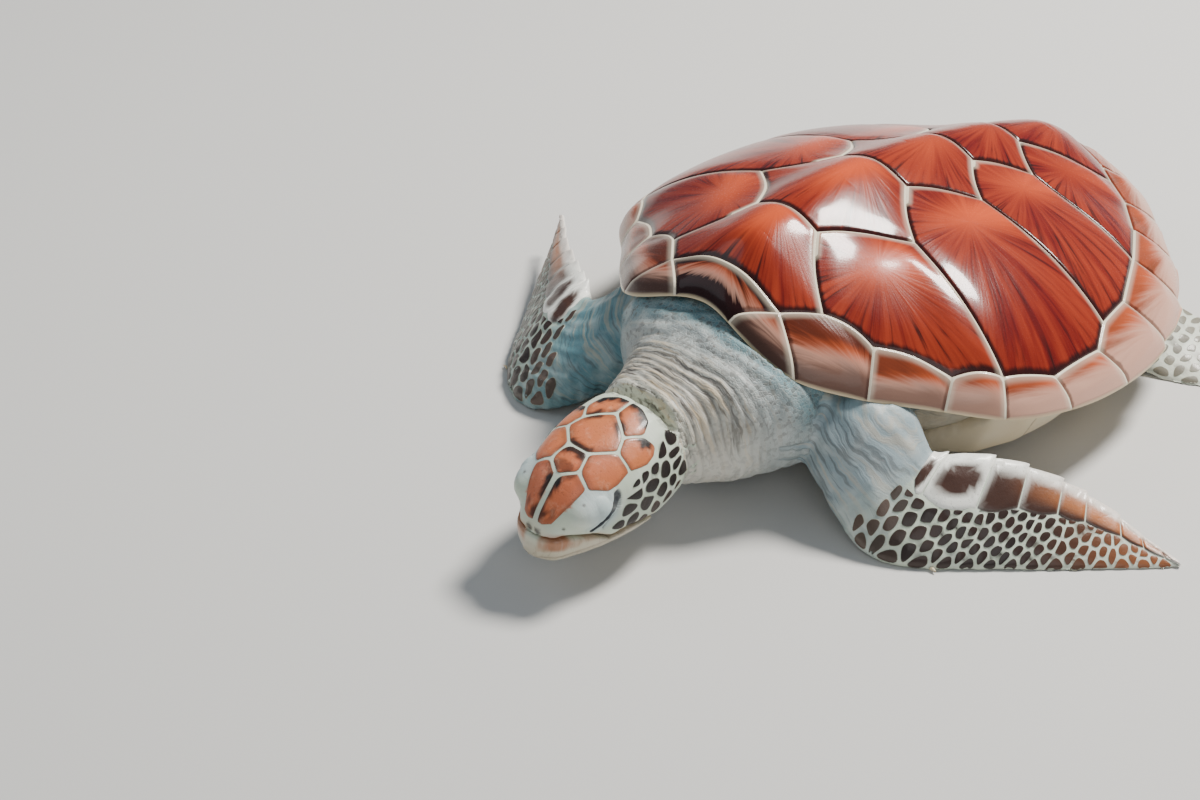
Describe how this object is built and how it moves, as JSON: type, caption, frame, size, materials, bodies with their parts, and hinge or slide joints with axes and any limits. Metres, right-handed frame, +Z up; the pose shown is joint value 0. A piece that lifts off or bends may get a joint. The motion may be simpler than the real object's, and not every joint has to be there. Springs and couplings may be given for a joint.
{
  "type": "sea turtle",
  "caption": "Young green sea turtle lying at rest on its belly, whole and life-size, head low, front flippers swept back, with a plated shell.",
  "frame": {"origin": "middle of the flat of the belly that rests on the floor, on the shell's midline", "axes": "+Z up, -Y the way the turtle faces, +X its left side; the floor is z = 0"},
  "size_m": [0.5253, 0.5796, 0.1575],
  "materials": {
    "scute_horn": "wet gloss, red-brown horn with radiating streaks",
    "marginal_horn": "gloss, orange-brown horn, paler at the rim",
    "belly_horn": "satin, cream horn",
    "soft_skin": "matt, finely wrinkled grey-cream skin",
    "scaled_skin": "satin, dark scales with pale borders",
    "head_skin": "satin, terracotta scales with pale borders",
    "beak_horn": "satin, cream horn",
    "eyeball": "wet gloss",
    "claw_horn": "satin, pale horn"
  },
  "bodies": {
    "root": {"arm_left": "soft_skin", "arm_right": "soft_skin", "beak": "beak_horn", "claw_left": "claw_horn", "claw_right": "claw_horn", "costal_1_left": "scute_horn", "costal_1_right": "scute_horn", "costal_2_left": "scute_horn", "costal_2_right": "scute_horn", "costal_3_left": "scute_horn", "costal_3_right": "scute_horn", "costal_4_left": "scute_horn", "costal_4_right": "scute_horn", "eye_left": "eyeball", "eye_right": "eyeball", "flipper_left": "scaled_skin", "flipper_right": "scaled_skin", "foot_left": "scaled_skin", "foot_right": "scaled_skin", "head": "head_skin", "jaw": "beak_horn", "marginal_10_left": "marginal_horn", "marginal_10_right": "marginal_horn", "marginal_11_left": "marginal_horn", "marginal_11_right": "marginal_horn", "marginal_12_left": "marginal_horn", "marginal_12_right": "marginal_horn", "marginal_1_left": "marginal_horn", "marginal_1_right": "marginal_horn", "marginal_2_left": "marginal_horn", "marginal_2_right": "marginal_horn", "marginal_3_left": "marginal_horn", "marginal_3_right": "marginal_horn", "marginal_4_left": "marginal_horn", "marginal_4_right": "marginal_horn", "marginal_5_left": "marginal_horn", "marginal_5_right": "marginal_horn", "marginal_6_left": "marginal_horn", "marginal_6_right": "marginal_horn", "marginal_7_left": "marginal_horn", "marginal_7_right": "marginal_horn", "marginal_8_left": "marginal_horn", "marginal_8_right": "marginal_horn", "marginal_9_left": "marginal_horn", "marginal_9_right": "marginal_horn", "neck": "soft_skin", "nuchal": "marginal_horn", "plastron": "belly_horn", "tail": "soft_skin", "thigh_left": "soft_skin", "thigh_right": "soft_skin", "trunk": "soft_skin", "vertebral_1": "scute_horn", "vertebral_2": "scute_horn", "vertebral_3": "scute_horn", "vertebral_4": "scute_horn", "vertebral_5": "scute_horn"}
  },
  "joints": []
}
